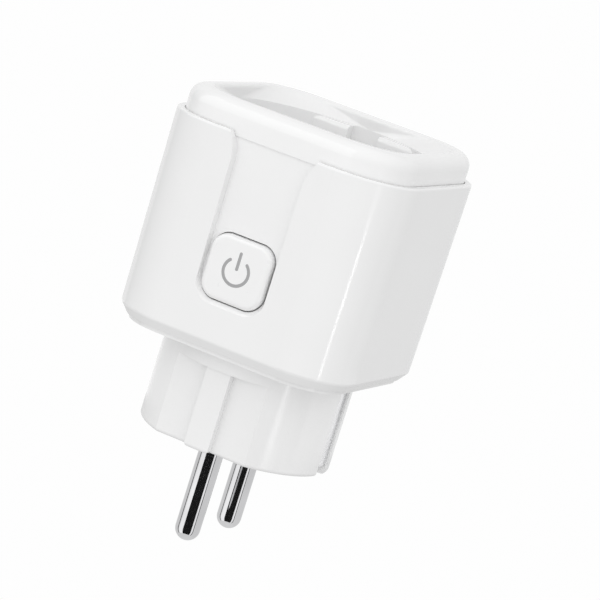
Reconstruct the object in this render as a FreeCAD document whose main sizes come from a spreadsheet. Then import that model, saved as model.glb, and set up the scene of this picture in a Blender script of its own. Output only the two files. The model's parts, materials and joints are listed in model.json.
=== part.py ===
import FreeCAD, Part
import math
import os
from types import SimpleNamespace

import Sketcher
from FreeCAD import Placement, Rotation, Vector

# A smart plug: a rounded-square housing with a round plug nose below and a socket above.
#
# Frame: millimetres, +Z from the plug pins towards the socket. The origin is the centre of
# the nose's end face, where the pins come out. The button faces -Y, the pins stand on the
# Y axis, and the side earth contacts lie on the X axis.

DIMENSIONS = {
    # pins and nose
    "pin_spacing": 19.0,
    "pin_radius": 2.4,
    "pin_length": 19.0,
    "pin_neck_radius": 2.0,
    "pin_recess": 0.3,
    "pin_collar_radius": 3.5,
    "pin_collar_thick": 1.2,
    "pin_stem_radius": 1.2,
    "nose_radius": 18.7,
    "nose_floor": 2.4,
    "nose_cavity_radius": 14.2,
    "nose_edge_round": 0.8,
    "flat_half": 16.1,
    "flat_top": 15.8,
    "rib_half": 2.5,
    "rib_front": 17.9,
    "channel_half": 2.1,
    "channel_floor": 17.2,
    "earth_hole_x": -10.0,
    "earth_hole_radius": 2.6,
    "earth_tube_radius": 3.2,
    "earth_tube_length": 19.0,
    "clamp_screw_left": -4.5,
    "clamp_screw_right": 6.5,
    "clamp_thick": 2.2,
    # base plate under the shell
    "base_low": 18.95,
    "base_low_half": 22.2,
    "base_edge": 19.65,
    "base_flange_half": 22.3,
    "base_half": 21.2,
    "base_top": 22.3,
    "corner_centre": 12.6,
    "post_radius": 2.1,
    "post_height": 2.0,
    "boss_radius": 2.3,
    "catch_x": 10.3,
    "catch_half": 2.2,
    "catch_reach": 22.1,
    # outer shell
    "shell_low": 19.75,
    "shell_low_half": 22.9,
    "shell_edge": 21.5,
    "shell_edge_half": 24.3,
    "shell_edge_round": 0.9,
    "shell_top": 59.6,
    "shell_half": 24.8,
    "shell_top_round": 0.4,
    "cavity_half": 22.3,
    "lip_top": 24.0,
    "rebate_half": 23.45,
    "rebate_floor": 58.65,
    "seat_low": 51.1,
    "seat_high": 53.5,
    "seat_depth": 23.1,
    # front groove and button
    "groove_floor": 23.0,
    "groove_wall_inside": 21.8,
    "groove_front": 25.3,
    "groove_low": 29.8,
    "groove_low_half": 6.95,
    "groove_high_half": 7.15,
    "groove_flare_start": 54.0,
    "groove_flare_half": 9.9,
    "groove_corner": 3.8,
    "groove_slope_side": 0.3,
    "groove_slope_low": 2.8,
    "button_height": 35.4,
    "button_half_x": 6.3,
    "button_half_z": 6.2,
    "button_corner": 3.2,
    "button_front": 24.5,
    "button_gap": 0.25,
    "button_round": 0.8,
    "button_wall": 1.4,
    "flange_margin": 1.3,
    "flange_thick": 0.8,
    "stem_radius": 1.6,
    "stem_end": 19.6,
    # power symbol
    "symbol_radius": 2.54,
    "symbol_stroke": 0.3,
    "symbol_depth": 0.3,
    "symbol_bar_low": 0.25,
    "symbol_bar_high": 3.8,
    # socket cap
    "cap_low": 58.7,
    "cap_top": 64.9,
    "cap_half": 23.3,
    "cap_round": 2.7,
    "mouth_half": 19.75,
    "mouth_corner": 7.8,
    "mouth_depth": 2.7,
    "mouth_round": 0.8,
    "recess_radius": 19.75,
    "recess_floor": 47.4,
    "cup_radius": 21.4,
    "cup_floor_thick": 2.0,
    "lug_half": 16.6,
    "lug_inner": 3.25,
    "lug_outer": 10.9,
    "lug_top": 62.0,
    "lug_round": 0.9,
    "entry_radius": 2.6,
    # contact carrier and shutter
    "carrier_radius": 19.3,
    "carrier_low": 41.0,
    "chamber_floor": 43.2,
    "chamber_radius": 14.5,
    "shutter_thick": 1.7,
    "shutter_gap": 0.2,
    "shutter_bar_half": 2.0,
    "shutter_bar_thick": 0.7,
    "lobe_radius": 3.2,
    "hub_radius": 3.0,
    "pivot_radius": 1.5,
    "pivot_length": 2.9,
    "pivot_hole_depth": 1.2,
    "carrier_post_length": 3.0,
    "running_gap": 0.05,
    "fixed_gap": 0.1,
    "spring_radius": 3.85,
    "spring_wire": 0.2,
    "spring_pitch": 0.44,
    "spring_leg": 2.4,
    "sleeve_radius": 3.0,
    "sleeve_bore": 2.45,
    "sleeve_low": 32.0,
    "sleeve_flange": 4.3,
    # metal strips
    "strip_half": 2.0,
    "strip_thick": 0.6,
    "nose_strip_thick": 0.9,
    "strap_side": 20.0,
    "strap_top": 44.9,
    "bridge_low": 22.9,
    "clip_low": 40.0,
    "clip_bend": 48.0,
    "clip_crest": 18.3,
    "clip_crest_height": 57.0,
    "clip_top": 61.4,
    "clip_top_side": 20.3,
    # boards
    "board_low": 24.3,
    "board_thick": 1.6,
    "board_half": 19.8,
    "board_corner": 5.0,
    "screw_x": 17.4,
    "screw_y": 7.1,
    "screw_radius": 0.9,
    "screw_head_radius": 1.7,
    "screw_head_thick": 1.2,
    "screw_cross_depth": 0.7,
    "carrier_screw_x": 16.0,
    "button_board_back": -14.4,
    "button_board_front": -15.5,
    "button_board_top": 40.6,
    "switch_front": -18.9,
    "plunger_radius": 1.7,
    "plunger_length": 1.3,
    "guide_height": 39.6,
    "guide_front": -19.4,
}


class Size:
    """A length in millimetres together with the sheet formula that gives it."""

    def __init__(self, value, formula):
        self.value = float(value)
        self.formula = formula

    def _with(self, other, sign, value, swap=False):
        text = other.formula if isinstance(other, Size) else repr(float(other))
        first, second = (text, self.formula) if swap else (self.formula, text)
        return Size(value, f"({first} {sign} {second})")

    def __add__(self, other):
        return self._with(other, "+", self.value + number(other))

    def __sub__(self, other):
        return self._with(other, "-", self.value - number(other))

    def __mul__(self, other):
        return self._with(other, "*", self.value * number(other))

    def __truediv__(self, other):
        return self._with(other, "/", self.value / number(other))

    def __radd__(self, other):
        return self._with(other, "+", number(other) + self.value, swap=True)

    def __rsub__(self, other):
        return self._with(other, "-", number(other) - self.value, swap=True)

    def __rmul__(self, other):
        return self._with(other, "*", number(other) * self.value, swap=True)

    def __neg__(self):
        return self * -1


def number(size):
    return size.value if isinstance(size, Size) else float(size)


def driving_sheet(doc):
    """The sheet of driving dimensions, and its cells as sizes."""
    sheet = doc.addObject("Spreadsheet::Sheet", "Sheet")
    for row, (alias, value) in enumerate(DIMENSIONS.items(), start=1):
        sheet.set(f"A{row}", alias)
        sheet.set(f"B{row}", str(value))
        sheet.setAlias(f"B{row}", alias)
    doc.recompute()
    return SimpleNamespace(**{a: Size(v, f"Sheet.{a}") for a, v in DIMENSIONS.items()})


def bind(target, name, size):
    """Set a property, and tie it to the sheet where the size comes from there."""
    if isinstance(size, Size):
        target.setExpression(name, size.formula)
    elif name.startswith("Placement.Base."):
        place = target.Placement
        setattr(place.Base, name[-1], float(size))
        target.Placement = place
    else:
        setattr(target, name, float(size))


# ---------------------------------------------------------------- Part primitives

TURNS = {
    "Z": Rotation(),
    "X": Rotation(Vector(0, 1, 0), 90),
    "Y": Rotation(Vector(1, 0, 0), -90),
}


def primitive(doc, kind, name, base, sizes, axis="Z"):
    item = doc.addObject(kind, name)
    item.Placement = Placement(Vector(*[number(v) for v in base]), TURNS[axis])
    for letter, value in zip("xyz", base):
        if isinstance(value, Size):
            bind(item, f"Placement.Base.{letter}", value)
    for prop, value in sizes.items():
        bind(item, prop, value)
    return item


def box(doc, name, low, high):
    """A box between two corners."""
    spans = {}
    for prop, start, end in zip(("Length", "Width", "Height"), low, high):
        spans[prop] = end - start
    return primitive(doc, "Part::Box", name, low, spans)


def cylinder(doc, name, base, radius, height, axis="Z"):
    return primitive(doc, "Part::Cylinder", name, base, {"Radius": radius, "Height": height}, axis)


def sphere(doc, name, centre, radius):
    return primitive(doc, "Part::Sphere", name, centre, {"Radius": radius})


def fuse(doc, name, shapes):
    joined = doc.addObject("Part::MultiFuse", name)
    joined.Shapes = shapes
    joined.Refine = True
    return joined


def cut(doc, name, base, tools):
    removed = doc.addObject("Part::Cut", name)
    removed.Base = base
    removed.Tool = tools[0] if len(tools) == 1 else fuse(doc, name + "_tools", tools)
    return removed


def rounded(doc, name, base, radius, wanted):
    """Round the edges of a finished shape that the test picks out."""
    doc.recompute()
    item = doc.addObject("Part::Fillet", name)
    item.Base = base
    picked = [i for i, edge in enumerate(base.Shape.Edges, start=1) if wanted(edge)]
    item.Edges = [(i, number(radius), number(radius)) for i in picked]
    return item


def upright(edge):
    return abs(edge.tangentAt(edge.FirstParameter).z) > 0.99 and edge.Curve.TypeId == "Part::GeomLine"


def level_at(height):
    """A test for edges that lie flat at a height."""

    def wanted(edge):
        low, high = edge.BoundBox.ZMin, edge.BoundBox.ZMax
        return abs(low - number(height)) < 0.01 and abs(high - number(height)) < 0.01

    return wanted


# ---------------------------------------------------------------- bodies and sketches

def new_body(doc, name):
    body = doc.addObject("PartDesign::Body", name)
    body.Label = name
    return body


def new_sketch(body, name, plane="XY_Plane", offset=0.0):
    """A sketch on one of the body's own origin planes, moved along its normal."""
    support = next(item for item in body.Origin.OriginFeatures if item.Role == plane)
    sketch = body.newObject("Sketcher::SketchObject", name)
    sketch.AttachmentSupport = [(support, "")]
    sketch.MapMode = "FlatFace"
    if isinstance(offset, Size):
        sketch.setExpression("AttachmentOffset.Base.z", offset.formula)
    else:
        sketch.AttachmentOffset = Placement(Vector(0, 0, offset), Rotation())
    return sketch


def dimension(sketch, kind, items, size):
    """Add a sketch dimension and tie it to its size."""
    index = sketch.addConstraint(Sketcher.Constraint(kind, *items, number(size)))
    if isinstance(size, Size):
        sketch.setExpression(f"Constraints[{index}]", size.formula)


def fix_point(sketch, edge, end, x, y):
    origin = (-1, 1)
    dimension(sketch, "DistanceX", (*origin, edge, end), x)
    dimension(sketch, "DistanceY", (*origin, edge, end), y)


def add_circle(sketch, x, y, radius):
    shape = Part.Circle(Vector(number(x), number(y), 0), Vector(0, 0, 1), number(radius))
    index = sketch.addGeometry(shape, False)
    dimension(sketch, "Radius", (index,), radius)
    fix_point(sketch, index, 3, x, y)


def add_polygon(sketch, points):
    """A closed outline through points, each tied to its sizes."""
    spots = [Vector(number(x), number(y), 0) for x, y in points]
    first = sketch.GeometryCount
    count = len(spots)
    for i in range(count):
        sketch.addGeometry(Part.LineSegment(spots[i], spots[(i + 1) % count]), False)
    for i in range(count):
        joint = Sketcher.Constraint("Coincident", first + i, 2, first + (i + 1) % count, 1)
        sketch.addConstraint(joint)
    for i, (x, y) in enumerate(points):
        fix_point(sketch, first + i, 1, x, y)


def add_rectangle(sketch, x_low, x_high, y_low, y_high):
    add_polygon(sketch, [(x_low, y_low), (x_high, y_low), (x_high, y_high), (x_low, y_high)])


def add_rounded_rectangle(sketch, half_x, half_y, corner, centre_y=0.0):
    """Four sides and four equal corner arcs about (0, centre_y)."""
    hx, hy, r, cy = number(half_x), number(half_y), number(corner), number(centre_y)
    sides = [
        ((r - hx, cy - hy), (hx - r, cy - hy)),
        ((hx, cy - hy + r), (hx, cy + hy - r)),
        ((hx - r, cy + hy), (r - hx, cy + hy)),
        ((-hx, cy + hy - r), (-hx, cy - hy + r)),
    ]
    first = sketch.GeometryCount
    for start, end in sides:
        sketch.addGeometry(Part.LineSegment(Vector(*start, 0), Vector(*end, 0)), False)
    centres = [(hx - r, cy - hy + r), (hx - r, cy + hy - r), (r - hx, cy + hy - r), (r - hx, cy - hy + r)]
    for quarter, (x, y) in enumerate(centres, start=-1):
        arc = Part.Circle(Vector(x, y, 0), Vector(0, 0, 1), r)
        start = quarter * math.pi / 2
        sketch.addGeometry(Part.ArcOfCircle(arc, start, start + math.pi / 2), False)
    for i in range(4):
        side, arc, following = first + i, first + 4 + i, first + (i + 1) % 4
        sketch.addConstraint(Sketcher.Constraint("Tangent", side, 2, arc, 1))
        sketch.addConstraint(Sketcher.Constraint("Tangent", arc, 2, following, 1))
        kind = "Horizontal" if i % 2 == 0 else "Vertical"
        sketch.addConstraint(Sketcher.Constraint(kind, side))
    for i in range(1, 4):
        sketch.addConstraint(Sketcher.Constraint("Equal", first + 4, first + 4 + i))
    dimension(sketch, "Radius", (first + 4,), corner)
    dimension(sketch, "DistanceY", (-1, 1, first, 1), centre_y - half_y)
    dimension(sketch, "DistanceX", (-1, 1, first + 1, 1), half_x)
    dimension(sketch, "DistanceY", (-1, 1, first + 2, 1), centre_y + half_y)
    dimension(sketch, "DistanceX", (-1, 1, first + 3, 1), -half_x)


def square_section(body, name, height, half, corner):
    sketch = new_sketch(body, name, "XY_Plane", height)
    add_rounded_rectangle(sketch, half, half, corner)
    return sketch


def feature(body, kind, name, profile, **settings):
    item = body.newObject(kind, name)
    item.Profile = profile
    for key, value in settings.items():
        if isinstance(value, Size):
            item.setExpression(key, value.formula)
        else:
            setattr(item, key, value)
    return item


def pad(body, name, profile, length, **settings):
    return feature(body, "PartDesign::Pad", name, profile, Length=length, **settings)


def pocket(body, name, profile, length, **settings):
    """A pocket that must remove material, with its volume compared."""
    doc = body.Document
    doc.recompute()
    before = body.Shape.Volume
    item = feature(body, "PartDesign::Pocket", name, profile, Length=length, **settings)
    doc.recompute()
    if not body.Shape.Volume < before - 1e-3:
        raise RuntimeError(f"{body.Label}: {name} cuts nothing")
    return item


def loft(body, name, sections, kind="PartDesign::AdditiveLoft"):
    item = body.newObject(kind, name)
    item.Profile = sections[0]
    item.Sections = sections[1:]
    item.Ruled = True
    return item


def fillet(body, name, radius, wanted):
    """Round the edges of the body's last feature that the test picks out."""
    body.Document.recompute()
    last = body.Tip
    picked = [f"Edge{i}" for i, edge in enumerate(last.Shape.Edges, start=1) if wanted(edge)]
    item = body.newObject("PartDesign::Fillet", name)
    item.Base = (last, picked)
    item.setExpression("Radius", radius.formula)
    return item


# ---------------------------------------------------------------- housing

def groove_section(body, d, name, depth, widen, lower):
    """The groove's outline at a depth: a rounded foot, near-straight sides, a flared top."""
    over = d.shell_top + 1.2
    low, low_half = d.groove_low - lower, d.groove_low_half + widen
    high_half, flare_half = d.groove_high_half + widen, d.groove_flare_half + widen
    corner = d.groove_corner + widen
    # the flare leaves the side at its start and reaches its full width above the shell
    rise = number(over) - number(d.groove_flare_start)
    step = number(flare_half) - number(high_half)
    bend = (rise * rise + step * step) / (2 * step)
    turn = math.asin(rise / bend)
    sketch = new_sketch(body, name, "XZ_Plane", depth)
    r, x1, x2, x3 = number(corner), number(low_half), number(high_half), number(flare_half)
    z0, z1, z2 = number(low), number(d.groove_flare_start), number(over)
    line, arc_of = Part.LineSegment, Part.ArcOfCircle
    up = Vector(0, 0, 1)
    foot_right = Part.Circle(Vector(x1 - r, z0 + r, 0), up, r)
    foot_left = Part.Circle(Vector(r - x1, z0 + r, 0), up, r)
    bend_right = Part.Circle(Vector(x2 + bend, z1, 0), up, bend)
    bend_left = Part.Circle(Vector(-x2 - bend, z1, 0), up, bend)
    outline = [
        line(Vector(r - x1, z0, 0), Vector(x1 - r, z0, 0)),
        arc_of(foot_right, -math.pi / 2, 0),
        line(Vector(x1, z0 + r, 0), Vector(x2, z1, 0)),
        arc_of(bend_right, math.pi - turn, math.pi),
        line(Vector(x3, z2, 0), Vector(-x3, z2, 0)),
        arc_of(bend_left, 0, turn),
        line(Vector(-x2, z1, 0), Vector(-x1, z0 + r, 0)),
        arc_of(foot_left, math.pi, 1.5 * math.pi),
    ]
    for piece in outline:
        sketch.addGeometry(piece, False)
    # ends of each piece in order round the outline; the right flare's arc runs backwards
    ends = [(0, 2, 1, 1), (1, 2, 2, 1), (2, 2, 3, 2), (5, 1, 6, 1), (6, 2, 7, 1), (7, 2, 0, 1)]
    for first, end, second, start in ends:
        sketch.addConstraint(Sketcher.Constraint("Tangent", first, end, second, start))
    sketch.addConstraint(Sketcher.Constraint("Coincident", 3, 1, 4, 1))
    sketch.addConstraint(Sketcher.Constraint("Coincident", 4, 2, 5, 2))
    dimension(sketch, "Radius", (1,), corner)
    dimension(sketch, "Radius", (7,), corner)
    dimension(sketch, "DistanceY", (-1, 1, 0, 1), low)
    sketch.addConstraint(Sketcher.Constraint("Horizontal", 0))
    for edge, end, half in ((2, 2, high_half), (6, 1, -high_half), (4, 1, flare_half), (4, 2, -flare_half)):
        dimension(sketch, "DistanceX", (-1, 1, edge, end), half)
    for edge, end, height in ((2, 2, d.groove_flare_start), (6, 1, d.groove_flare_start), (4, 1, over)):
        dimension(sketch, "DistanceY", (-1, 1, edge, end), height)
    sketch.addConstraint(Sketcher.Constraint("Horizontal", 4))
    dimension(sketch, "DistanceX", (-1, 1, 2, 1), low_half)
    dimension(sketch, "DistanceX", (-1, 1, 6, 2), -low_half)
    return sketch


def catch_spots():
    """A name and the signs of x and y for each of four catches."""
    return [(f"{x_name}_{y_name}", side, face)
            for x_name, side in (("left", -1), ("right", 1))
            for y_name, face in (("front", -1), ("back", 1))]


def outer_shell(doc, d):
    """Sleeve with a sloping underside, a rebated top edge and the groove for the button."""
    body = new_body(doc, "outer_shell")
    inner, edge, top = d.shell_low_half, d.shell_edge_half, d.shell_half
    loft(body, "underside", [
        square_section(body, "underside_inner", d.shell_low, inner, inner - d.corner_centre),
        square_section(body, "underside_outer", d.shell_edge, edge, edge - d.corner_centre),
    ])
    loft(body, "wall", [
        square_section(body, "wall_low", d.shell_edge, edge, edge - d.corner_centre),
        square_section(body, "wall_top", d.shell_top, top, top - d.corner_centre),
    ])
    fillet(body, "lower_edge", d.shell_edge_round, level_at(d.shell_edge))
    fillet(body, "top_edge", d.shell_top_round, level_at(d.shell_top))
    above = 1.0
    opening_half = d.base_half + d.button_gap / 2
    opening = square_section(body, "base_opening", d.lip_top, opening_half, opening_half - d.corner_centre)
    pocket(body, "base_opening_cut", opening, d.lip_top - d.shell_low + above)
    cavity = square_section(
        body, "cavity", d.shell_top + above, d.cavity_half, d.cavity_half - d.corner_centre)
    pocket(body, "cavity_cut", cavity, d.shell_top + above - d.lip_top)
    rebate = square_section(
        body, "rebate", d.shell_top + above, d.rebate_half, d.rebate_half - d.corner_centre)
    pocket(body, "rebate_cut", rebate, d.shell_top + above - d.rebate_floor)
    # a thicker wall behind the groove
    backing = new_sketch(body, "backing", "XZ_Plane", d.groove_wall_inside)
    backing_half = d.catch_x - d.catch_half - 0.2
    add_rectangle(backing, -backing_half, backing_half, d.lip_top, d.rebate_floor)
    pad(body, "backing_pad", backing, d.groove_floor - d.groove_wall_inside)
    # seats for the cap's four catches
    for name, side, face in catch_spots():
        seat = new_sketch(body, f"seat_{name}", "XY_Plane", d.seat_low)
        low, high = sorted((face * (d.cavity_half - 0.3), face * d.seat_depth), key=number)
        middle, half = side * d.catch_x, d.catch_half + 0.3
        add_rectangle(seat, middle - half, middle + half, low, high)
        pocket(body, f"seat_cut_{name}", seat, d.seat_high - d.seat_low, Reversed=True)
    doc.recompute()
    side, low = d.groove_slope_side, d.groove_slope_low
    loft(body, "groove", [
        groove_section(body, d, "groove_floor_outline", d.groove_floor, 0.0, 0.0),
        groove_section(body, d, "groove_front_outline", d.groove_front, side, low),
    ], "PartDesign::SubtractiveLoft")
    hole = new_sketch(body, "button_hole", "XZ_Plane", d.groove_floor + above)
    add_rounded_rectangle(
        hole, d.button_half_x + d.button_gap, d.button_half_z + d.button_gap,
        d.button_corner + d.button_gap, d.button_height)
    pocket(body, "button_hole_cut", hole, 3 * above)
    return body


def plug_base(doc, d):
    """Base plate and round nose in one moulding, with board posts and four catches."""
    body = new_body(doc, "plug_base")
    loft(body, "underside", [
        square_section(body, "underside_low", d.base_low, d.base_low_half, d.base_low_half - d.corner_centre),
        square_section(
            body, "underside_edge", d.base_edge, d.base_flange_half, d.base_flange_half - d.corner_centre),
    ])
    plate = square_section(body, "plate", d.base_edge, d.base_half, d.base_half - d.corner_centre)
    pad(body, "plate_pad", plate, d.base_top - d.base_edge)
    nose = new_sketch(body, "nose")
    add_circle(nose, 0.0, 0.0, d.nose_radius)
    pad(body, "nose_pad", nose, d.base_edge)
    # two flats with a centre rib between them, under a full-round collar
    outside = 20.0
    flats = new_sketch(body, "flats")
    for face in (-1, 1):
        for side in (-1, 1):
            xs = sorted((side * d.rib_half, side * outside), key=number)
            ys = sorted((face * d.flat_half, face * outside), key=number)
            add_rectangle(flats, *xs, *ys)
    pocket(body, "flats_cut", flats, d.flat_top, Reversed=True)
    rib_ends = new_sketch(body, "rib_ends")
    for face in (-1, 1):
        ys = sorted((face * d.rib_front, face * outside), key=number)
        add_rectangle(rib_ends, -d.rib_half, d.rib_half, *ys)
    pocket(body, "rib_ends_cut", rib_ends, d.flat_top, Reversed=True)
    fillet(body, "nose_edge", d.nose_edge_round, level_at(0.0))
    # a channel down each side for the earth strip, and its slot through the plate
    channels = new_sketch(body, "channels")
    slots = new_sketch(body, "strip_slots")
    for side in (-1, 1):
        xs = sorted((side * d.channel_floor, side * outside), key=number)
        add_rectangle(channels, *xs, -d.channel_half, d.channel_half)
        xs = sorted((side * d.channel_floor, side * (d.channel_floor + d.nose_strip_thick)), key=number)
        add_rectangle(slots, *xs, -d.strip_half, d.strip_half)
    pocket(body, "channels_cut", channels, d.base_low, Reversed=True)
    pocket(body, "strip_slots_cut", slots, d.base_top + 1, Reversed=True)
    cavity = new_sketch(body, "cavity", "XY_Plane", d.nose_floor)
    add_circle(cavity, 0.0, 0.0, d.nose_cavity_radius)
    pocket(body, "cavity_cut", cavity, d.base_top, Reversed=True)
    # two posts for the pin clamp, four for the board
    clamp_posts = new_sketch(body, "clamp_posts", "XY_Plane", d.nose_floor)
    for x in (d.clamp_screw_left, d.clamp_screw_right):
        add_circle(clamp_posts, x, 0.0, d.boss_radius)
    pad(body, "clamp_posts_pad", clamp_posts, d.pin_collar_thick)
    board_posts = new_sketch(body, "board_posts", "XY_Plane", d.base_top)
    for side in (-1, 1):
        add_circle(board_posts, -d.screw_x, side * d.screw_y, d.post_radius)
        add_circle(board_posts, d.screw_x, side * (d.screw_y + 5.0), d.post_radius)
    pad(body, "board_posts_pad", board_posts, d.post_height)
    # holes: pins, earth pin and screws
    holes = new_sketch(body, "pin_holes")
    for side in (-1, 1):
        add_circle(holes, 0.0, side * d.pin_spacing / 2, d.pin_neck_radius)
    add_circle(holes, d.earth_hole_x, 0.0, d.earth_hole_radius)
    pocket(body, "pin_holes_cut", holes, d.nose_floor + 1, Reversed=True)
    # the end face stands clear of the pins' shoulders
    recesses = new_sketch(body, "pin_recesses")
    for side in (-1, 1):
        add_circle(recesses, 0.0, side * d.pin_spacing / 2, d.pin_radius)
    pocket(body, "pin_recesses_cut", recesses, d.pin_recess, Reversed=True)
    pilots = new_sketch(body, "clamp_pilots", "XY_Plane", 1.0)
    for x in (d.clamp_screw_left, d.clamp_screw_right):
        add_circle(pilots, x, 0.0, d.screw_radius)
    pocket(body, "clamp_pilots_cut", pilots, 5.0, Reversed=True)
    pilots = new_sketch(body, "board_pilots", "XY_Plane", d.base_top - 2)
    for side in (-1, 1):
        add_circle(pilots, -d.screw_x, side * d.screw_y, d.screw_radius)
    pocket(body, "board_pilots_cut", pilots, 2 * d.post_height + 1, Reversed=True)
    catches(body, d)
    return body


def catches(body, d):
    """Four upright catches that hook over the shell's inner lip."""
    inner, face_of, slope = d.base_half - 1.2, d.base_half, 1.6
    hook = d.lip_top + d.fixed_gap
    outline = [
        (inner, d.base_top), (face_of, d.base_top), (face_of, hook), (d.catch_reach, hook),
        (face_of + d.fixed_gap, hook + slope), (inner, hook + slope),
    ]
    for name, side, face in catch_spots():
        profile = new_sketch(body, f"catch_{name}", "YZ_Plane", side * d.catch_x - d.catch_half)
        add_polygon(profile, [(face * y, z) for y, z in outline])
        pad(body, f"catch_pad_{name}", profile, 2 * d.catch_half)


def socket_cap(doc, d):
    """Glossy rim and socket recess in one moulding, with guide lugs and four catches."""
    body = new_body(doc, "socket_cap")
    collar = square_section(body, "collar", d.cap_low, d.cap_half, d.cap_half - d.corner_centre)
    pad(body, "collar_pad", collar, d.cap_top - d.cap_low)
    fillet(body, "rim_outer", d.cap_round, level_at(d.cap_top))
    cup = new_sketch(body, "cup", "XY_Plane", d.recess_floor - d.cup_floor_thick)
    add_circle(cup, 0.0, 0.0, d.cup_radius)
    pad(body, "cup_pad", cup, d.cap_low - d.recess_floor + d.cup_floor_thick)
    doc.recompute()
    loft(body, "mouth", [
        square_section(body, "mouth_top", d.cap_top, d.mouth_half, d.mouth_corner),
        square_section(body, "mouth_low", d.cap_top - d.mouth_depth, d.recess_radius, d.recess_radius - 0.05),
    ], "PartDesign::SubtractiveLoft")
    fillet(body, "mouth_edge", d.mouth_round, mouth_edge(d))
    recess = new_sketch(body, "recess", "XY_Plane", d.recess_floor)
    add_circle(recess, 0.0, 0.0, d.recess_radius)
    pocket(body, "recess_cut", recess, d.cap_top - d.recess_floor, Reversed=True)
    guide_lugs(body, d)
    # entries for the pins, and a slot in each side for the earth clip
    entries = new_sketch(body, "entries", "XY_Plane", d.recess_floor)
    for side in (-1, 1):
        add_circle(entries, 0.0, side * d.pin_spacing / 2, d.entry_radius)
    pocket(body, "entries_cut", entries, d.cup_floor_thick + 1)
    slots = new_sketch(body, "clip_slots", "XY_Plane", d.recess_floor - d.cup_floor_thick)
    for side in (-1, 1):
        xs = sorted((side * (d.recess_radius - 1.6), side * (d.cup_radius + 1)), key=number)
        add_rectangle(slots, *xs, -d.strip_half - 0.3, d.strip_half + 0.3)
    slot_height = d.clip_top + 0.4 - d.recess_floor + d.cup_floor_thick
    pocket(body, "clip_slots_cut", slots, slot_height, Reversed=True)
    # pivot pin for the shutter and posts for the carrier's screws, under the floor
    pivot = new_sketch(body, "pivot", "XY_Plane", d.recess_floor - d.cup_floor_thick)
    add_circle(pivot, 0.0, 0.0, d.pivot_radius)
    pad(body, "pivot_pad", pivot, d.pivot_length, Reversed=True)
    posts = new_sketch(body, "carrier_posts", "XY_Plane", d.recess_floor - d.cup_floor_thick)
    for side in (-1, 1):
        add_circle(posts, side * d.carrier_screw_x, 0.0, d.boss_radius)
    pad(body, "carrier_posts_pad", posts, d.carrier_post_length, Reversed=True)
    pilots = new_sketch(body, "carrier_pilots", "XY_Plane", d.recess_floor - 0.8)
    for side in (-1, 1):
        add_circle(pilots, side * d.carrier_screw_x, 0.0, d.screw_radius)
    pocket(body, "carrier_pilots_cut", pilots, 6.0)
    # four catches that snap into the shell's seats
    inner, face_of, low = d.cavity_half - 1.3, d.cavity_half - 0.15, d.seat_low + 0.3
    outline = [
        (inner, d.cap_low), (inner, low), (d.cavity_half - 0.3, low), (d.seat_depth - 0.2, low + 1.1),
        (d.seat_depth - 0.2, low + 1.9), (face_of, low + 1.9), (face_of, d.cap_low),
    ]
    for name, side, face in catch_spots():
        profile = new_sketch(body, f"catch_{name}", "YZ_Plane", side * d.catch_x - d.catch_half)
        add_polygon(profile, [(face * y, z) for y, z in outline])
        pad(body, f"catch_pad_{name}", profile, 2 * d.catch_half)
    return body


def mouth_edge(d):
    """A test for the mouth's edges in the cap's top face."""
    level = level_at(d.cap_top)
    reach = number(d.mouth_half) + 0.1

    def wanted(edge):
        box_of = edge.BoundBox
        inside = max(abs(box_of.XMin), abs(box_of.XMax), abs(box_of.YMin), abs(box_of.YMax)) < reach
        return level(edge) and inside

    return wanted


def guide_lugs(body, d):
    """Two lugs at each end of the pin line, with a slot between them for the plug's rib."""
    lugs = new_sketch(body, "lugs", "XY_Plane", d.recess_floor)
    outer = d.recess_radius - 0.4
    for face in (-1, 1):
        for side in (-1, 1):
            corner_y = (number(outer) ** 2 - number(d.lug_outer) ** 2) ** 0.5
            inner_x, outer_x = side * d.lug_inner, side * d.lug_outer
            near, far = face * d.lug_half, face * (d.recess_radius + 0.3)
            shoulder = face * (corner_y + 1.2)
            add_polygon(lugs, [(inner_x, near), (outer_x, near), (outer_x, shoulder), (inner_x, far)])
    pad(body, "lugs_pad", lugs, d.lug_top - d.recess_floor)

    def lug_edge(edge):
        low, high = edge.BoundBox, number(d.lug_top)
        front = abs(abs(low.YMin) - number(d.lug_half)) < 0.01 and low.YLength < 0.01
        return front and abs(low.ZMin - high) < 0.01 and abs(low.ZMax - high) < 0.01

    fillet(body, "lug_edges", d.lug_round, lug_edge)


# ---------------------------------------------------------------- button

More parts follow.
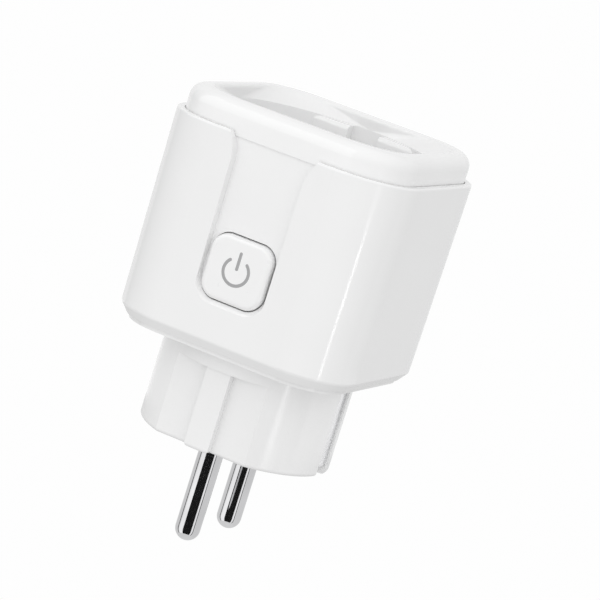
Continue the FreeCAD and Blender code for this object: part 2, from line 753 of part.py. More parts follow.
def button(doc, d):
    """Push button: rounded cap, retaining flange behind the shell wall, and a stem."""
    body = new_body(doc, "button")
    flange_front = d.groove_wall_inside - d.fixed_gap
    face = new_sketch(body, "face", "XZ_Plane", flange_front)
    add_rounded_rectangle(face, d.button_half_x, d.button_half_z, d.button_corner, d.button_height)
    pad(body, "face_pad", face, d.button_front - flange_front)

    def front_edge(edge):
        low = edge.BoundBox
        front = -number(d.button_front)
        return abs(low.YMin - front) < 0.01 and abs(low.YMax - front) < 0.01

    fillet(body, "face_edge", d.button_round, front_edge)
    flange = new_sketch(body, "flange", "XZ_Plane", flange_front)
    add_rounded_rectangle(
        flange, d.button_half_x + d.flange_margin, d.button_half_z + d.flange_margin,
        d.button_corner + d.flange_margin, d.button_height)
    pad(body, "flange_pad", flange, d.flange_thick, Reversed=True)
    hollow = new_sketch(body, "hollow", "XZ_Plane", flange_front - d.flange_thick)
    add_rounded_rectangle(
        hollow, d.button_half_x - d.button_wall, d.button_half_z - d.button_wall,
        d.button_corner - d.button_wall, d.button_height)
    hollow_depth = 2.0
    pocket(body, "hollow_cut", hollow, hollow_depth, Reversed=True)
    stem = new_sketch(body, "stem", "XZ_Plane", d.stem_end)
    add_circle(stem, 0.0, d.button_height, d.stem_radius)
    pad(body, "stem_pad", stem, flange_front - d.flange_thick + hollow_depth - d.stem_end + d.fixed_gap)
    above = 0.5
    for name, draw in (("ring", symbol_outline), ("bar", symbol_bar)):
        seat = new_sketch(body, f"symbol_{name}_seat", "XZ_Plane", d.button_front + above)
        draw(seat, d)
        pocket(body, f"symbol_{name}_seat_cut", seat, d.symbol_depth + above)
    return body


def symbol_outline(sketch, d):
    """An open ring with round ends, broken at the top."""
    gap = math.radians(43)
    start, end = math.pi / 2 + gap, 2.5 * math.pi - gap
    mean, half, cz = number(d.symbol_radius), number(d.symbol_stroke), number(d.button_height)
    up = Vector(0, 0, 1)
    for radius in (mean + half, mean - half):
        ring = Part.Circle(Vector(0, cz, 0), up, radius)
        sketch.addGeometry(Part.ArcOfCircle(ring, start, end), False)
    for angle, turn in ((start, 0.0), (end, math.pi)):
        centre = Vector(mean * math.cos(angle), cz + mean * math.sin(angle), 0)
        # the round end bulges away from the ring, back along it
        first = angle - math.pi + turn
        cap = Part.ArcOfCircle(Part.Circle(centre, up, half), first, first + math.pi)
        sketch.addGeometry(cap, False)
    joints = [(0, 1, 2, 2), (1, 1, 2, 1), (0, 2, 3, 1), (1, 2, 3, 2)]
    for first, first_end, second, second_end in joints:
        sketch.addConstraint(Sketcher.Constraint("Tangent", first, first_end, second, second_end))
    dimension(sketch, "Radius", (0,), d.symbol_radius + d.symbol_stroke)
    dimension(sketch, "Radius", (1,), d.symbol_radius - d.symbol_stroke)
    fix_point(sketch, 0, 3, 0.0, d.button_height)
    fix_point(sketch, 1, 3, 0.0, d.button_height)


def symbol_bar(sketch, d):
    low, high = d.button_height + d.symbol_bar_low, d.button_height + d.symbol_bar_high
    half = d.symbol_stroke
    add_rounded_rectangle(sketch, half, (high - low) / 2, half - 0.02, (high + low) / 2)


def power_symbol(doc, d):
    """The symbol's two strokes, let into the button's face."""
    body = new_body(doc, "power_symbol")
    ring = new_sketch(body, "ring", "XZ_Plane", d.button_front - d.symbol_depth)
    symbol_outline(ring, d)
    pad(body, "ring_pad", ring, d.symbol_depth)
    bar_body = new_body(doc, "power_symbol_bar")
    bar = new_sketch(bar_body, "bar", "XZ_Plane", d.button_front - d.symbol_depth)
    symbol_bar(bar, d)
    pad(bar_body, "bar_pad", bar, d.symbol_depth)
    return group(doc, "power_symbol", [body, bar_body])


def group(doc, label, pieces):
    """Several separate solids that count as one sub-part."""
    item = doc.addObject("Part::Compound", label + "_group")
    item.Links = pieces
    for piece in pieces:
        if piece.Label == label:
            piece.Label = label + "_piece"
    item.Label = label
    return item


# ---------------------------------------------------------------- current path

def pin(doc, d, label, side):
    """Round plug pin with a domed tip, a neck through the nose floor, a collar and a stem."""
    y = side * d.pin_spacing / 2
    tip = d.pin_radius - d.pin_length
    proud = 0.8
    stem_length = d.board_low + d.board_thick + proud - d.nose_floor
    parts = [
        sphere(doc, label + "_tip", (0, y, tip), d.pin_radius),
        cylinder(doc, label + "_shank", (0, y, tip), d.pin_radius, -tip),
        cylinder(doc, label + "_neck", (0, y, -d.pin_collar_thick), d.pin_neck_radius, d.nose_floor + 2.0),
        cylinder(doc, label + "_collar", (0, y, d.nose_floor), d.pin_collar_radius, d.pin_collar_thick),
        cylinder(doc, label + "_stem", (0, y, d.nose_floor), d.pin_stem_radius, stem_length),
    ]
    return named(fuse(doc, label, parts), label)


def named(item, label):
    item.Label = label
    return item


def screws(doc, d, label, spots, seat, length, upward=False):
    """Cross-head screws: head on the seat height, shank into the piece beyond it."""
    solids = []
    way = 1 if upward else -1
    for i, (x, y) in enumerate(spots):
        name = f"{label}_{i}"
        head_base = seat - d.screw_head_thick if upward else seat
        shank_base = seat if upward else seat - length
        head = cylinder(doc, name + "_head", (x, y, head_base), d.screw_head_radius, d.screw_head_thick)
        shank = cylinder(doc, name + "_shank", (x, y, shank_base), d.screw_radius, length)
        whole = fuse(doc, name + "_blank", [head, shank])
        face = seat - way * d.screw_head_thick
        low, high = sorted((face, face + way * d.screw_cross_depth), key=number)
        cross = []
        for arm, half_x, half_y in (("across", 1.0, 0.2), ("along", 0.2, 1.0)):
            corner, opposite = (x - half_x, y - half_y, low), (x + half_x, y + half_y, high)
            cross.append(box(doc, f"{name}_{arm}", corner, opposite))
        solids.append(cut(doc, name, whole, cross))
    return group(doc, label, solids)


def earth_strap(doc, d, label, side):
    """Strip from the nose channel through the base plate and up beside the board."""
    body = new_body(doc, label)
    sketch = new_sketch(body, "profile", "XZ_Plane", -d.strip_half)
    inner, outer = d.channel_floor, d.channel_floor + d.nose_strip_thick
    wall, wall_out = d.strap_side, d.strap_side + d.strip_thick
    outline = [
        (inner, 1.6), (outer - 0.4, 1.2), (outer, 1.8), (outer, d.base_top), (wall_out, d.base_top),
        (wall_out, d.strap_top), (wall, d.strap_top), (wall, d.bridge_low), (inner, d.bridge_low),
    ]
    add_polygon(sketch, [(side * x, z) for x, z in outline])
    pad(body, "strip", sketch, 2 * d.strip_half)
    return body


def earth_clip(doc, d, label, side):
    """Spring strip that bows into the recess through its slot."""
    body = new_body(doc, label)
    sketch = new_sketch(body, "profile", "XZ_Plane", -d.strip_half)
    foot = d.strap_side + d.strip_thick
    crest = d.clip_crest
    thick = d.strip_thick
    height = d.clip_crest_height
    line = [
        (foot, d.clip_low), (foot, d.clip_bend), (crest + 0.15, height - 1.0), (crest, height),
        (crest + 0.15, height + 1.0), (d.clip_top_side, d.clip_top),
    ]
    inner = [(x, z) for x, z in line]
    outer = [(x + thick, z) for x, z in reversed(line)]
    add_polygon(sketch, [(side * x, z) for x, z in inner + outer])
    pad(body, "strip", sketch, 2 * d.strip_half)
    return body


def earth_bridge(doc, d):
    """Strip that joins the two earth straps and the earth socket."""
    reach = d.strap_side - 0.1
    high = d.bridge_low + d.strip_thick
    strip = box(doc, "bridge_strip", (-reach, -d.strip_half, d.bridge_low), (reach, d.strip_half, high))
    return named(strip, "earth_bridge")


def earth_pin_socket(doc, d):
    """Split tube for a wall socket's fixed earth pin, with a stem to the bridge."""
    x, low, end_wall = d.earth_hole_x, d.nose_floor, 2.0
    slit_low, slit_high = low + 11, low + 15
    outer = cylinder(doc, "earth_tube", (x, 0, low), d.earth_tube_radius, d.earth_tube_length)
    stem = cylinder(doc, "earth_stem", (x, 0, low), 1.5, d.bridge_low - low)
    whole = fuse(doc, "earth_tube_blank", [outer, stem])
    bore = cylinder(doc, "earth_bore", (x, 0, low - 1), d.sleeve_bore, d.earth_tube_length + 1 - end_wall)
    slit = box(doc, "earth_slit", (x - 4, -0.3, slit_low), (x + 4, 0.3, slit_high))
    return named(cut(doc, "earth_pin_socket", whole, [bore, slit]), "earth_pin_socket")


def pin_clamp_plate(doc, d):
    """Disc that holds the pins' collars against the nose floor."""
    low = d.nose_floor + d.pin_collar_thick
    disc = cylinder(doc, "clamp_disc", (0, 0, low), d.nose_cavity_radius - 0.5, d.clamp_thick)
    through = d.clamp_thick + 2.0
    earth_hole = d.earth_tube_radius + d.fixed_gap
    holes = [cylinder(doc, "clamp_earth_hole", (d.earth_hole_x, 0, low - 1), earth_hole, through)]
    stem_hole = d.pin_stem_radius + d.fixed_gap
    for i, side in enumerate((-1, 1)):
        y = side * d.pin_spacing / 2
        holes.append(cylinder(doc, f"clamp_stem_hole_{i}", (0, y, low - 1), stem_hole, through))
    screw_hole = d.screw_radius + d.fixed_gap
    for i, x in enumerate((d.clamp_screw_left, d.clamp_screw_right)):
        holes.append(cylinder(doc, f"clamp_screw_hole_{i}", (x, 0, low - 1), screw_hole, through))
    return named(cut(doc, "pin_clamp_plate", disc, holes), "pin_clamp_plate")


def socket_contact(doc, d, label, side):
    """Split sleeve that grips a pin, hung in the carrier, with a leg to the board."""
    y = side * d.pin_spacing / 2
    low, top = d.sleeve_low, d.chamber_floor - 0.2
    board_top = d.board_low + d.board_thick
    leg_top = d.carrier_low - d.strip_thick
    sleeve = cylinder(doc, label + "_sleeve", (0, y, low), d.sleeve_radius, top - low)
    flange = cylinder(doc, label + "_flange", (0, y, leg_top), d.sleeve_flange, d.strip_thick)
    back, face, toe = -3.6, -2.8, -1.6
    leg = box(doc, label + "_leg", (back, y - d.strip_half, board_top), (face, y + d.strip_half, leg_top))
    foot_top = board_top + d.strip_thick
    foot = box(doc, label + "_foot", (back, y - d.strip_half, board_top), (toe, y + d.strip_half, foot_top))
    whole = fuse(doc, label + "_blank", [sleeve, flange, leg, foot])
    bore = cylinder(doc, label + "_bore", (0, y, low - 1), d.sleeve_bore, top - low + 2)
    slit = box(doc, label + "_slit", (-0.4, y - 4, low - 1), (0.4, y + 4, low + 6))
    return named(cut(doc, label, whole, [bore, slit]), label)


def contact_carrier(doc, d):
    """Disc under the recess floor that carries the contacts and houses the shutter."""
    low, through = d.carrier_low, 5.0
    floor = d.recess_floor - d.cup_floor_thick
    disc = cylinder(doc, "carrier_disc", (0, 0, low), d.carrier_radius, floor - low)
    pivot_low = floor - d.pivot_length - 0.3
    tools = [
        cylinder(doc, "carrier_chamber", (0, 0, d.chamber_floor), d.chamber_radius, through),
        cylinder(doc, "carrier_pivot_hole", (0, 0, pivot_low), d.pivot_radius + d.fixed_gap, 2),
    ]
    post_low = floor - d.carrier_post_length
    for i, side in enumerate((-1, 1)):
        y, x = side * d.pin_spacing / 2, side * d.carrier_screw_x
        screw_hole = d.screw_radius + d.fixed_gap
        tools += [
            cylinder(doc, f"carrier_well_{i}", (0, y, low - 1), d.sleeve_radius + d.fixed_gap, through),
            cylinder(doc, f"carrier_post_seat_{i}", (x, 0, post_low), d.boss_radius + d.fixed_gap, through),
            cylinder(doc, f"carrier_screw_hole_{i}", (x, 0, low - 1), screw_hole, through),
        ]
    return named(cut(doc, "contact_carrier", disc, tools), "contact_carrier")


def safety_shutter(doc, d):
    """Two-lobed shutter on a hub: pins pressed in together turn it aside by its ramps."""
    top = d.recess_floor - d.cup_floor_thick - d.shutter_gap
    low, half = top - d.shutter_thick, d.shutter_bar_half
    reach = d.pin_spacing / 2
    hub = cylinder(doc, "shutter_hub", (0, 0, low), d.hub_radius, d.shutter_thick)
    bar = box(doc, "shutter_bar", (-half, -reach, top - d.shutter_bar_thick), (half, reach, top))
    lobes = []
    ramps = []
    slope, lead = 16, 0.55
    for i, side in enumerate((-1, 1)):
        y = side * reach
        lobes.append(cylinder(doc, f"shutter_lobe_{i}", (0, y, low), d.lobe_radius, d.shutter_thick))
        # the ramp falls away on the side that the shutter turns from
        ramp = box(doc, f"shutter_ramp_{i}", (-4.0, -4.0, 0.0), (4.0, 4.0, 3.0))
        tilt = Rotation(Vector(0, 1, 0), side * -slope)
        ramp.Placement = Placement(Vector(0, number(y), number(top) - lead), tilt)
        ramps.append(ramp)
    blank = fuse(doc, "shutter_blank", [hub, bar] + lobes)
    bore_radius = d.pivot_radius + d.running_gap
    bore = cylinder(doc, "shutter_bore", (0, 0, low - 1), bore_radius, d.shutter_thick + 2)
    return named(cut(doc, "safety_shutter", blank, [bore] + ramps), "safety_shutter")


def shutter_spring(doc, d):
    """Torsion spring round the shutter's hub: three rising half turns between two legs."""
    rise = d.spring_pitch / 2
    low = d.chamber_floor + d.spring_wire + d.running_gap
    # each half turn is a flat half ring, tipped so that its ends meet its neighbours'
    tip = math.degrees(math.atan2(number(rise) / 2, number(d.spring_radius)))
    half_turns = 3
    parts = []
    for i in range(half_turns):
        ring = doc.addObject("Part::Torus", f"spring_turn_{i}")
        bind(ring, "Radius1", d.spring_radius)
        bind(ring, "Radius2", d.spring_wire)
        ring.Angle3 = 180
        way = 1 if i % 2 == 0 else -1
        about = Rotation(Vector(0, 1, 0), way * tip) * Rotation(Vector(0, 0, 1), 180 * (i % 2))
        ring.Placement = Placement(Vector(0, 0, number(low + rise * (i + 0.5))), about)
        parts.append(ring)
    ends = ((d.spring_radius, low), (-d.spring_radius, low + rise * half_turns))
    for i, (x, z) in enumerate(ends):
        leg = cylinder(doc, f"spring_leg_{i}", (x, -d.spring_leg, z), d.spring_wire, d.spring_leg, "Y")
        parts.append(leg)
    return named(fuse(doc, "shutter_spring", parts), "shutter_spring")


# ---------------------------------------------------------------- electronics

def main_board(doc, d):
    body = new_body(doc, "main_board")
    board = square_section(body, "outline", d.board_low, d.board_half, d.board_corner)
    pad(body, "board", board, d.board_thick)
    holes = new_sketch(body, "holes", "XY_Plane", d.board_low)
    for side in (-1, 1):
        add_circle(holes, 0.0, side * d.pin_spacing / 2, d.pin_stem_radius + 0.1)
        add_circle(holes, -d.screw_x, side * d.screw_y, d.screw_radius + 0.1)
    pocket(body, "holes_cut", holes, d.board_thick + 1, Reversed=True)
    return body


def block(doc, label, low, high, corner, wanted=upright):
    """A moulded block with rounded upright corners."""
    body = box(doc, label + "_block", low, high)
    return named(rounded(doc, label, body, corner, wanted), label)


def relay(doc, d):
    """Sealed relay: a case on its base."""
    top = d.board_low + d.board_thick
    base = block(doc, "relay_base", (4.7, -9.6, top), (19.6, 9.4, top + 1.4), 0.6)
    case = block(doc, "relay_case", (4.9, -9.4, top + 1.4), (19.4, 9.2, top + 13.4), 0.8)
    return [base, case]


def transformer(doc, d):
    """Windowed ferrite core with its winding round the centre leg."""
    top = d.board_low + d.board_thick
    x, y = -14.0, -0.2
    frame = box(doc, "core_frame", (x - 5.4, y - 2.5, top), (x + 5.4, y + 2.5, top + 10.0))
    window = box(doc, "core_window", (x - 4.2, y - 3.0, top + 1.8), (x + 4.2, y + 3.0, top + 8.2))
    ring = cut(doc, "core_ring", frame, [window])
    leg = cylinder(doc, "core_leg", (x, y, top + 1.0), 1.7, 8.0)
    core = named(fuse(doc, "transformer_core", [ring, leg]), "transformer_core")
    coil = cylinder(doc, "winding_coil", (x, y, top + 1.9), 4.0, 6.2)
    bore = cylinder(doc, "winding_bore", (x, y, top), 1.75, 12.0)
    return [core, named(cut(doc, "transformer_winding", coil, [bore]), "transformer_winding")]


def can_capacitor(doc, d, label, x, y, radius, height):
    """Electrolytic can with a crimped groove near its foot and a scored top."""
    top = d.board_low + d.board_thick
    can = cylinder(doc, label + "_can", (x, y, top), radius, height)
    ring = cylinder(doc, label + "_ring", (x, y, top + 1.6), radius + 1, 0.8)
    waist = cylinder(doc, label + "_waist", (x, y, top + 1.2), radius - 0.35, 1.6)
    groove = cut(doc, label + "_groove", ring, [waist])
    marks = []
    for i, (wide, deep) in enumerate(((radius * 0.6, 0.15), (0.15, radius * 0.6))):
        low = (x - wide, y - deep, top + height - 0.2)
        marks.append(box(doc, f"{label}_mark_{i}", low, (x + wide, y + deep, top + height + 1)))
    return named(cut(doc, label, can, [groove] + marks), label)


def leaded_disc(doc, d, label, x, y, radius, thick):
    """A disc standing on two wire leads."""
    top = d.board_low + d.board_thick
    disc = cylinder(doc, label + "_disc", (x, y - thick / 2, top + 1.2 + radius), radius, thick, "Y")
    leads = []
    for i, side in enumerate((-1, 1)):
        leads.append(cylinder(doc, f"{label}_lead_{i}", (x + side * 2.5, y, top), 0.35, 3.2))
    return named(fuse(doc, label, [disc] + leads), label)


def input_fuse(doc, d):
    """Ceramic fuse body with metal ends and bent leads."""
    z = d.board_low + d.board_thick + 2.0
    x, y, length = -19.4, -11.2, 9.4
    barrel = cylinder(doc, "fuse_barrel", (x + 1.4, y, z), 1.45, length - 2.8, "X")
    ends = [
        cylinder(doc, "fuse_end_0", (x, y, z), 1.6, 1.6, "X"),
        cylinder(doc, "fuse_end_1", (x + length - 1.6, y, z), 1.6, 1.6, "X"),
    ]
    leads = []
    for i, at in enumerate((x + 0.8, x + length - 0.8)):
        leads.append(cylinder(doc, f"fuse_lead_{i}", (at, y, z - 2.0), 0.4, 2.0))
    return named(fuse(doc, "input_fuse", [barrel] + ends + leads), "input_fuse")


def choke(doc, d):
    """Drum core with its winding between two flanges."""
    top = d.board_low + d.board_thick
    x, y = 14.6, -14.4
    parts = [
        cylinder(doc, "choke_foot", (x, y, top), 3.9, 1.2),
        cylinder(doc, "choke_post", (x, y, top), 1.8, 8.4),
        cylinder(doc, "choke_head", (x, y, top + 7.2), 3.9, 1.2),
    ]
    core = named(fuse(doc, "choke_core", parts), "choke_core")
    coil = cylinder(doc, "choke_coil", (x, y, top + 1.2), 3.5, 6.0)
    bore = cylinder(doc, "choke_bore", (x, y, top), 1.8, 9.0)
    return [core, named(cut(doc, "choke_winding", coil, [bore]), "choke_winding")]


def metering_chip(doc, d):
    """Flat chip with a row of leads on each side."""
    top = d.board_low + d.board_thick
    package = box(doc, "chip_package", (-2.0, -2.4, top + 0.1), (2.0, 2.4, top + 1.5))
    leads = []
    for i in range(4):
        y = -1.9 + 1.27 * i
        leads.append(box(doc, f"chip_lead_{i}", (-2.9, y - 0.2, top), (2.9, y + 0.2, top + 0.3)))
    return named(fuse(doc, "metering_chip", [package] + leads), "metering_chip")


def current_shunt(doc, d):
    """Low bent strip that carries the load current past the metering chip."""
    top = d.board_low + d.board_thick
    strip = box(doc, "shunt_strip", (-1.2, 3.4, top), (1.2, 7.0, top + 1.6))
    gap = box(doc, "shunt_gap", (-2.0, 4.2, top - 1), (2.0, 6.2, top + 1.0))
    return named(cut(doc, "current_shunt", strip, [gap]), "current_shunt")


def radio_board(doc, d):
    """Upright radio module with a metal shield on its inner side."""
    top = d.board_low + d.board_thick
    board = named(box(doc, "wifi_board", (-11.5, 18.4, top), (5.5, 19.2, top + 14.5)), "wifi_board")
    shield = block(doc, "rf_shield", (-9.6, 16.2, top + 1.6), (3.2, 18.4, top + 11.5), 0.5)
    return [board, shield]


def button_board(doc, d):
    """Upright board behind the button."""
    low, half = d.board_low + d.board_thick, 8.5
    corner, opposite = (-half, d.button_board_front, low), (half, d.button_board_back, d.button_board_top)
    return named(box(doc, "button_board", corner, opposite), "button_board")


def button_switch(doc, d):
    """Switch body with a bored face, and the plunger that the button presses."""
    z, half = d.button_height, 3.0
    front, back = d.switch_front, d.button_board_front
    case = box(doc, "switch_case", (-half, front, z - half), (half, back, z + half))
    bore_radius = d.plunger_radius + d.running_gap
    bore = cylinder(doc, "switch_bore", (0, front - 1, z), bore_radius, 2.4, "Y")
    body = named(cut(doc, "switch_body", case, [bore]), "switch_body")
    plunger = cylinder(doc, "switch_plunger", (0, -d.stem_end, z), d.plunger_radius, d.plunger_length, "Y")
    return [body, named(plunger, "switch_plunger")]


def indicator(doc, d):
    """Indicator lamp on the button board, under a clear guide that leads to the button."""
    z, back = d.guide_height, d.button_board_front
    lamp_half, lamp_rise, lamp_deep = 0.8, 0.4, 0.7
    corner, opposite = (-lamp_half, back - lamp_deep, z - lamp_rise), (lamp_half, back, z + lamp_rise)
    lamp = box(doc, "indicator_lamp", corner, opposite)
    rod = box(doc, "guide_rod", (-1.6, d.guide_front, z - 1.2), (1.6, back, z + 1.2))
    pit = box(doc, "guide_pit", (-0.9, back - lamp_deep - 0.1, z - 0.5), (0.9, back + 1, z + 0.5))
    guide = cut(doc, "light_guide", rod, [pit])
    return [named(lamp, "indicator_led"), named(guide, "light_guide")]


def electronics(doc, d):
    """Everything that stands on the main board."""
    parts = [main_board(doc, d)]
    parts += relay(doc, d)
    parts += transformer(doc, d)
    parts.append(can_capacitor(doc, d, "bulk_capacitor", -14.6, 12.9, 4.0, 12.0))
    parts.append(can_capacitor(doc, d, "filter_capacitor", -7.4, 12.4, 2.5, 9.0))
    top = d.board_low + d.board_thick
    parts.append(block(doc, "film_capacitor", (5.6, 11.6, top), (17.4, 17.2, top + 11.0), 0.8))
    parts.append(leaded_disc(doc, d, "varistor", -14.0, -16.0, 4.3, 3.6))
    parts.append(input_fuse(doc, d))
    parts += choke(doc, d)
    parts.append(metering_chip(doc, d))
    parts.append(current_shunt(doc, d))
    parts += radio_board(doc, d)
    parts.append(button_board(doc, d))
    parts += button_switch(doc, d)
    parts += indicator(doc, d)
    return parts


def current_path(doc, d):
    """Pins, earth parts, socket contacts and what holds them."""
    parts = [pin(doc, d, "live_pin", -1), pin(doc, d, "neutral_pin", 1)]
    parts.append(pin_clamp_plate(doc, d))
    clamp_top = d.nose_floor + d.pin_collar_thick + d.clamp_thick
    spots = [(d.clamp_screw_left, 0.0), (d.clamp_screw_right, 0.0)]
    parts.append(screws(doc, d, "pin_clamp_screws", spots, clamp_top, 4.8))
    parts.append(earth_pin_socket(doc, d))
    parts.append(earth_bridge(doc, d))
    for name, side in (("left", -1), ("right", 1)):
        parts.append(earth_strap(doc, d, "earth_strap_" + name, side))
        parts.append(earth_clip(doc, d, "earth_clip_" + name, side))
    parts.append(socket_contact(doc, d, "live_contact", -1))
    parts.append(socket_contact(doc, d, "neutral_contact", 1))
    parts.append(contact_carrier(doc, d))
    spots = [(side * d.carrier_screw_x, 0.0) for side in (-1, 1)]
    parts.append(screws(doc, d, "carrier_screws", spots, d.carrier_low, 5.2, upward=True))
    parts.append(safety_shutter(doc, d))
    parts.append(shutter_spring(doc, d))
    board_top = d.board_low + d.board_thick
    spots = [(-d.screw_x, side * d.screw_y) for side in (-1, 1)]
    parts.append(screws(doc, d, "board_screws", spots, board_top, 5.0))
    return parts


# ---------------------------------------------------------------- check and write

def check(doc, parts):
    """Stop if any object failed, or any sub-part is null or not valid."""
    for item in doc.Objects:
        if "Invalid" in item.State or "Error" in item.State:
            raise RuntimeError(f"{item.Label} failed: {item.State}")
    for part in parts:
        if part.Shape.isNull() or not part.Shape.isValid() or not part.Shape.Solids:
            raise RuntimeError(f"{part.Label} has no valid solid")


def write(parts):
    os.makedirs("parts", exist_ok=True)
    for part in parts:
        part.Shape.exportStep(f"parts/{part.Label}.step")


def main():
    doc = FreeCAD.newDocument("smart_plug")
    d = driving_sheet(doc)
    parts = [outer_shell(doc, d), plug_base(doc, d), socket_cap(doc, d), button(doc, d), power_symbol(doc, d)]
    parts += current_path(doc, d)
    parts += electronics(doc, d)
    doc.recompute()
    check(doc, parts)
    write(parts)
    print(len(parts), "sub-parts written")


main()
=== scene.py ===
import json
import math

import bmesh
import bpy
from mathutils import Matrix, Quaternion, Vector


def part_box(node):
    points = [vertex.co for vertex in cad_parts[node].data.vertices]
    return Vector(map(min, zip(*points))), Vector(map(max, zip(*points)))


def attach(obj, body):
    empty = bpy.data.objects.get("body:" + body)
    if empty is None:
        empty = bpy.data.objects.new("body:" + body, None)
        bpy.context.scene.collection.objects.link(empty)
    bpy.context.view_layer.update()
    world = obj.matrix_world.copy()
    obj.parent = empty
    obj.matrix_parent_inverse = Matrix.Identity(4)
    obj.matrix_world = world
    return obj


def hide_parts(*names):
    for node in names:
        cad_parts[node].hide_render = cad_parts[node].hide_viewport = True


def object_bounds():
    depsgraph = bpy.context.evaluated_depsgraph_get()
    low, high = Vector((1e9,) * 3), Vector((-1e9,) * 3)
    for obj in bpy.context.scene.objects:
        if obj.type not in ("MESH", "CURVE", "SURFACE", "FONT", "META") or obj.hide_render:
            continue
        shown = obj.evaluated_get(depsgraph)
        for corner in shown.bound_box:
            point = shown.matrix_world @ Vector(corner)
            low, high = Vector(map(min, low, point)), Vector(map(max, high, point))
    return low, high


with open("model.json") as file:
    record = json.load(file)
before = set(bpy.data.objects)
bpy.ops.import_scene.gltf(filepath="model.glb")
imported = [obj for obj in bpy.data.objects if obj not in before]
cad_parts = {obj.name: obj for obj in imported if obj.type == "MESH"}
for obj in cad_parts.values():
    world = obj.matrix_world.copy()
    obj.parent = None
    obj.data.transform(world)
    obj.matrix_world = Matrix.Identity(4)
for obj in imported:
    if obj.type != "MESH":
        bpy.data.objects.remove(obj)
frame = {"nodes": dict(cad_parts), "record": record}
cad_low, cad_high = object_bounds()
record = frame["record"]

# A smart plug: white rounded-square housing, round plug nose and pins below, socket above.
# Metres throughout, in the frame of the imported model: +Z towards the socket, button on -Y.
# Azimuths run round +Z from the button's side: 0 is -Y and 90 is +X.


def add_mesh(name, points, faces):
    """A new mesh object in the scene."""
    mesh = bpy.data.meshes.new(name)
    mesh.from_pydata(points, [], faces)
    mesh.update()
    piece = bpy.data.objects.new(name, mesh)
    bpy.context.scene.collection.objects.link(piece)
    return piece


# ---------------------------------------------------------------- camera

AZIMUTH = math.radians(20.8)
ELEVATION = math.radians(10.46)
ROLL = math.radians(17.45)
DISTANCE = 0.6024
LENS_MM = 191.56
SENSOR_MM = 36.0
CLIP_NEAR = 0.01
CLIP_FAR = 50.0
# The point looked at lies this far to the camera's right of the object's axis, and this high.
AIM_SIDE = 0.00393
AIM_HEIGHT = 0.02985


def make_camera():
    """The camera stands a little to the right of the front, looks slightly down, and leans."""
    data = bpy.data.cameras.new("camera")
    data.lens = LENS_MM
    data.sensor_width = SENSOR_MM
    data.clip_start = CLIP_NEAR
    data.clip_end = CLIP_FAR
    camera = bpy.data.objects.new("camera", data)
    bpy.context.scene.collection.objects.link(camera)
    back = Vector((
        math.sin(AZIMUTH) * math.cos(ELEVATION),
        -math.cos(AZIMUTH) * math.cos(ELEVATION),
        math.sin(ELEVATION),
    ))
    aim = Vector((AIM_SIDE * math.cos(AZIMUTH), AIM_SIDE * math.sin(AZIMUTH), AIM_HEIGHT))
    camera.location = aim + back * DISTANCE
    camera.rotation_mode = "QUATERNION"
    lean = Quaternion((0, 0, 1), ROLL)
    camera.rotation_quaternion = (-back).to_track_quat("-Z", "Y") @ lean
    bpy.context.scene.camera = camera


# ---------------------------------------------------------------- floor and light

FLOOR_DROP = 0.0002
FLOOR_SIZE = 8.0
FLOOR_GLOW = 0.99

# The world's light in a direction is the level plus the slope along that direction.
WORLD_LEVEL = 0.75
WORLD_SLOPE = (0.08, -0.34, 0.3)

# The pins, the nose and the shell each show a range of heights of their own.
CARD_RADIUS = 0.25
CARD_STEPS = 12
PIN_BASE, PIN_TOP = -0.3, -0.053
BLACK_TOP = -0.042
NOSE_BASE, NOSE_TOP = -0.052, -0.031
CORNER_TOP = 0.009
UPPER_TOP = 0.03

# Name, first and last azimuth, strength. The pins show them in this order from left to right,
# and the black card between the white card and the glint.
PIN_CARDS = (
    ("left_card", 200, 283, 0.72),
    ("left_line", 285, 293, 0.05),
    ("white_card", 302, 342, 1.05),
    ("right_glint", 421, 429, 1.0),
    ("right_line", 433, 440, 0.1),
    ("right_card", 444, 560, 0.72),
)
BLACK_EDGES = (342, 417)
BLACK_GLOW = 0.01

BELOW_SIZE = 0.6
BELOW_GLOW = 0.75

# Name, bottom, top, first and last azimuth, strength.
BACKDROP_CARDS = (
    ("back_card", -0.07, 0.3, 110, 250, 0.9),
    ("key_card", 0.027, 0.5, -80, 0, 2.2),
)
BACKDROP_RADIUS = 0.3

# Name, first and last azimuth, strength.
NOSE_CARDS = (
    ("nose_left_card", 200, 286, 1.1),
    ("nose_line", 59, 65, 2.8),
    ("nose_right_card", 95, 150, 1.4),
)

# Name, bottom edge, top edge, strength. An edge is its height, first and last azimuth.
CORNER_CARDS = (
    ("corner_line", (NOSE_TOP, 58.5, 61.5), (CORNER_TOP, 59, 62), 6.5),
    ("upper_line", (CORNER_TOP, 57.5, 64), (UPPER_TOP, 52, 64), 1.7),
)


def glow(name, strength):
    """A plain surface that gives off light of its own."""
    material = bpy.data.materials.new(name)
    material.use_nodes = True
    shader = material.node_tree.nodes["Principled BSDF"]
    shader.inputs["Base Color"].default_value = (0, 0, 0, 1)
    shader.inputs["Roughness"].default_value = 1.0
    shader.inputs["Specular IOR Level"].default_value = 0.0
    shader.inputs["Emission Color"].default_value = (1, 1, 1, 1)
    shader.inputs["Emission Strength"].default_value = strength
    return material


def light_up(piece, strength):
    """Make a studio piece glow, without lighting matt surfaces or casting a shadow."""
    piece.data.materials.append(glow(piece.name + "_sheet", strength))
    piece.visible_diffuse = False
    piece.visible_shadow = False


def sheet(name, level, size, strength):
    """A level square that glows, centred under the object."""
    half = size / 2
    corners = [
        (-half, -half, level),
        (half, -half, level),
        (half, half, level),
        (-half, half, level),
    ]
    piece = add_mesh(name, corners, [(0, 1, 2, 3)])
    light_up(piece, strength)
    return piece


